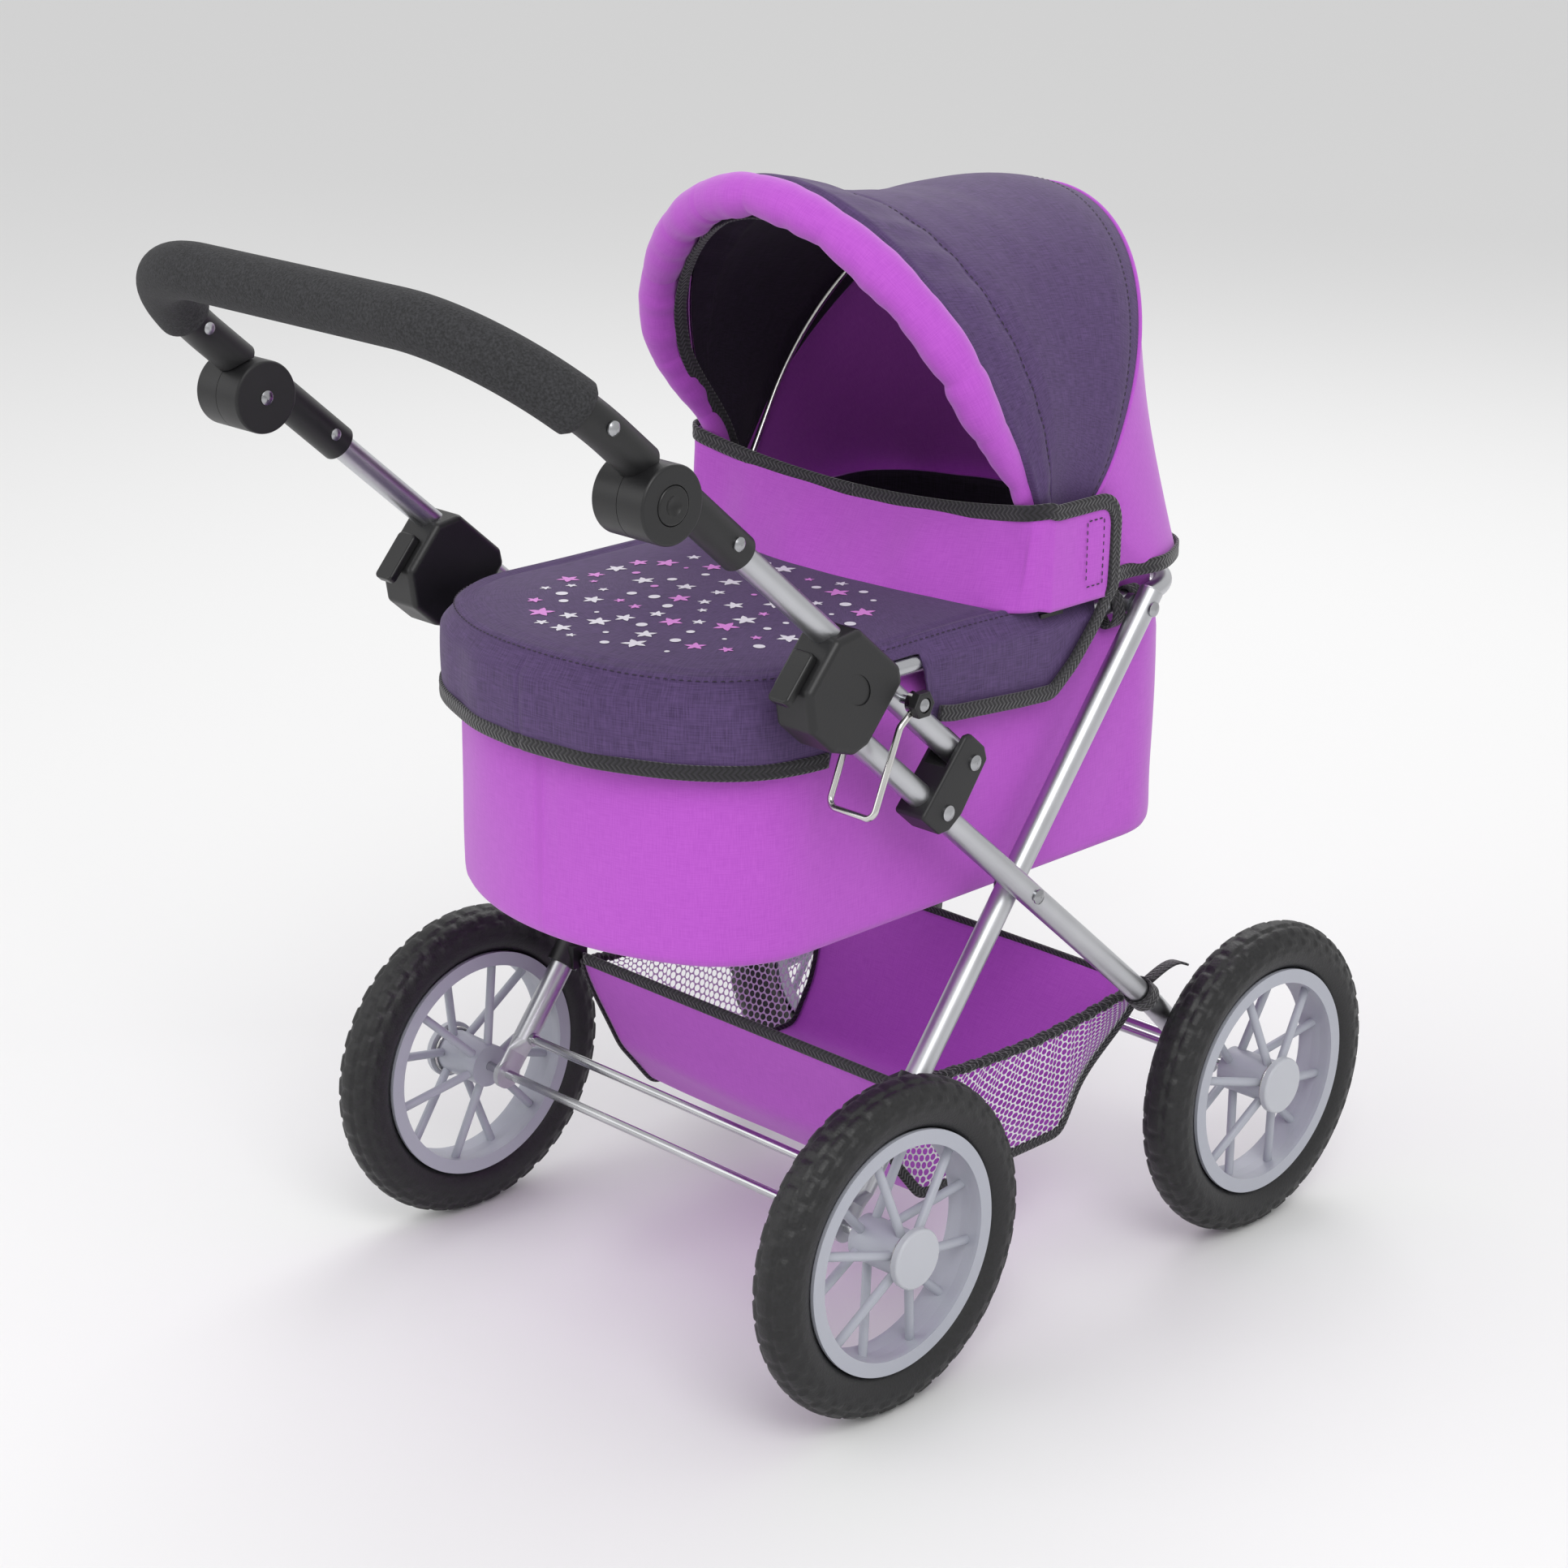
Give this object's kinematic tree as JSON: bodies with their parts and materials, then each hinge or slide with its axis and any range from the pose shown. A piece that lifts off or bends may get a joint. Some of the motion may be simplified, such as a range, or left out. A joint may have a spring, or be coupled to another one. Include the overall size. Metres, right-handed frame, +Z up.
{
  "type": "doll stroller",
  "caption": "Folding doll pram with a cloth carrycot, two-bow hood, wind flap, under-basket, foam-grip handlebar with turning joints, fold locks and spoked wheels.",
  "frame": {"origin": "on the floor, under the middle of the bounding box", "axes": "+X is the way the pram is pushed, toward the hood end; +Y is its left side; +Z is up"},
  "size_m": [0.7192, 0.4202, 0.7006],
  "materials": {
    "satin_tube": "satin anodised",
    "bright_rod": "bright drawn",
    "plated_wire": "zinc plated",
    "rivet_steel": "polished",
    "rim_tube": "silver powder coat",
    "black_moulding": "fine grained",
    "black_button": "satin",
    "grip_foam": "closed-cell foam",
    "tyre_foam": "smooth foam rubber",
    "wheel_grey": "moulded",
    "cap_grey": "satin",
    "magenta_cloth": "woven polyester",
    "aubergine_cloth": "woven polyester",
    "base_board_card": "hardboard"
  },
  "bodies": {
    "frame": {"frame_tube_left": "satin_tube", "frame_tube_right": "satin_tube", "front_axle": "bright_rod", "front_cross_rod": "bright_rod", "front_axle_clips": "plated_wire", "frame_rivets": "rivet_steel", "link_brackets": "black_moulding", "basket": "magenta_cloth"},
    "handle": {"handle_tube_left": "satin_tube", "handle_tube_right": "satin_tube", "latch_box_left": "black_moulding", "latch_box_right": "black_moulding", "joint_lower_left": "black_moulding", "joint_lower_right": "black_moulding", "joint_pins": "rivet_steel", "lower_sleeve_bolts": "rivet_steel", "pivot_bolts": "rivet_steel", "pivot_caps": "black_moulding"},
    "grip": {"joint_upper_left": "black_moulding", "joint_upper_right": "black_moulding", "upper_sleeve_bolts": "rivet_steel", "handlebar": "satin_tube", "foam_grip": "grip_foam"},
    "legs": {"leg_tube_left": "satin_tube", "leg_tube_right": "satin_tube", "rear_axle": "bright_rod", "rear_cross_rod": "bright_rod", "rear_axle_clips": "plated_wire", "rim_rivets": "rivet_steel", "basket_clips": "black_moulding"},
    "cot": {"cot_rim": "rim_tube", "cot_body": "magenta_cloth", "base_board": "base_board_card", "cot_cover": "aubergine_cloth", "wind_flap": "magenta_cloth", "pivot_blocks": "black_moulding", "hood_back": "magenta_cloth", "hood_hinges": "black_moulding", "hood_rear": "aubergine_cloth", "hood_rear_bow": "plated_wire"},
    "hood_front_fold": {"hood_front": "aubergine_cloth", "hood_front_bow": "plated_wire"},
    "bail_left": {"wire_bail_left": "plated_wire"},
    "button_left": {"joint_button_left": "black_button"},
    "latch_left": {"latch_slide_left": "black_button"},
    "bail_right": {"wire_bail_right": "plated_wire"},
    "button_right": {"joint_button_right": "black_button"},
    "latch_right": {"latch_slide_right": "black_button"},
    "wheel_front_left_turn": {"tyre_front_left": "tyre_foam", "wheel_front_left": "wheel_grey", "hub_cap_front_left": "cap_grey"},
    "wheel_front_right_turn": {"tyre_front_right": "tyre_foam", "wheel_front_right": "wheel_grey", "hub_cap_front_right": "cap_grey"},
    "wheel_rear_left_turn": {"tyre_rear_left": "tyre_foam", "wheel_rear_left": "wheel_grey", "hub_cap_rear_left": "cap_grey"},
    "wheel_rear_right_turn": {"tyre_rear_right": "tyre_foam", "wheel_rear_right": "wheel_grey", "hub_cap_rear_right": "cap_grey"}
  },
  "joints": [
    {"name": "fold", "type": "hinge", "parent": "frame", "child": "handle", "pos_m": [-0.01607, 0, 0.37909], "axis": [0, 1, 0], "range_deg": [0, 50]},
    {"name": "leg_fold", "type": "hinge", "parent": "frame", "child": "legs", "pos_m": [0.04849, 0, 0.2795], "axis": [0, 1, 0], "range_deg": [0, 21]},
    {"name": "cot_tilt", "type": "hinge", "parent": "handle", "child": "cot", "pos_m": [-0.0737, 0, 0.429], "axis": [0, 1, 0], "range_deg": [-31.2, 0]},
    {"name": "grip_angle", "type": "hinge", "parent": "handle", "child": "grip", "pos_m": [-0.25723, 0, 0.57263], "axis": [0, 1, 0], "range_deg": [-90, 60]},
    {"name": "hood_front_hinge", "type": "hinge", "parent": "cot", "child": "hood_front_fold", "pos_m": [0.09532, 0, 0.459], "axis": [0, 1, 0], "range_deg": [0, 42]},
    {"name": "bail_left_swing", "type": "hinge", "parent": "handle", "child": "bail_left", "pos_m": [-0.0737, 0.1668, 0.429], "axis": [0, 1, 0], "range_deg": [-1, 51]},
    {"name": "button_left_press", "type": "slide", "parent": "grip", "child": "button_left", "axis": [0, -1, 0], "range_m": [0, 0.0035], "stiffness_N_per_m": 800, "springref_m": -0.001},
    {"name": "latch_left_slide", "type": "slide", "parent": "handle", "child": "latch_left", "axis": [-0.7559, 0, 0.6547], "range_m": [0, 0.006], "stiffness_N_per_m": 400, "springref_m": -0.001},
    {"name": "bail_right_swing", "type": "hinge", "parent": "handle", "child": "bail_right", "pos_m": [-0.0737, -0.1668, 0.429], "axis": [0, 1, 0], "range_deg": [-1, 51]},
    {"name": "button_right_press", "type": "slide", "parent": "grip", "child": "button_right", "axis": [0, 1, 0], "range_m": [0, 0.0035], "stiffness_N_per_m": 800, "springref_m": -0.001},
    {"name": "latch_right_slide", "type": "slide", "parent": "handle", "child": "latch_right", "axis": [-0.7559, 0, 0.6547], "range_m": [0, 0.006], "stiffness_N_per_m": 400, "springref_m": -0.001},
    {"name": "wheel_front_left_spin", "type": "hinge", "parent": "frame", "child": "wheel_front_left_turn", "pos_m": [0.25632, 0.18635, 0.1033], "axis": [0, 1, 0], "continuous": true},
    {"name": "wheel_front_right_spin", "type": "hinge", "parent": "frame", "child": "wheel_front_right_turn", "pos_m": [0.25632, -0.18635, 0.1033], "axis": [0, 1, 0], "continuous": true},
    {"name": "wheel_rear_left_spin", "type": "hinge", "parent": "legs", "child": "wheel_rear_left_turn", "pos_m": [-0.08868, 0.18635, 0.1033], "axis": [0, 1, 0], "continuous": true},
    {"name": "wheel_rear_right_spin", "type": "hinge", "parent": "legs", "child": "wheel_rear_right_turn", "pos_m": [-0.08868, -0.18635, 0.1033], "axis": [0, 1, 0], "continuous": true}
  ],
  "couplings": [
    {"joint": "leg_fold", "follows": "fold", "ratio": 0.416},
    {"joint": "cot_tilt", "follows": "fold", "ratio": -0.622},
    {"joint": "bail_left_swing", "follows": "fold", "ratio": 1},
    {"joint": "bail_right_swing", "follows": "fold", "ratio": 1}
  ]
}
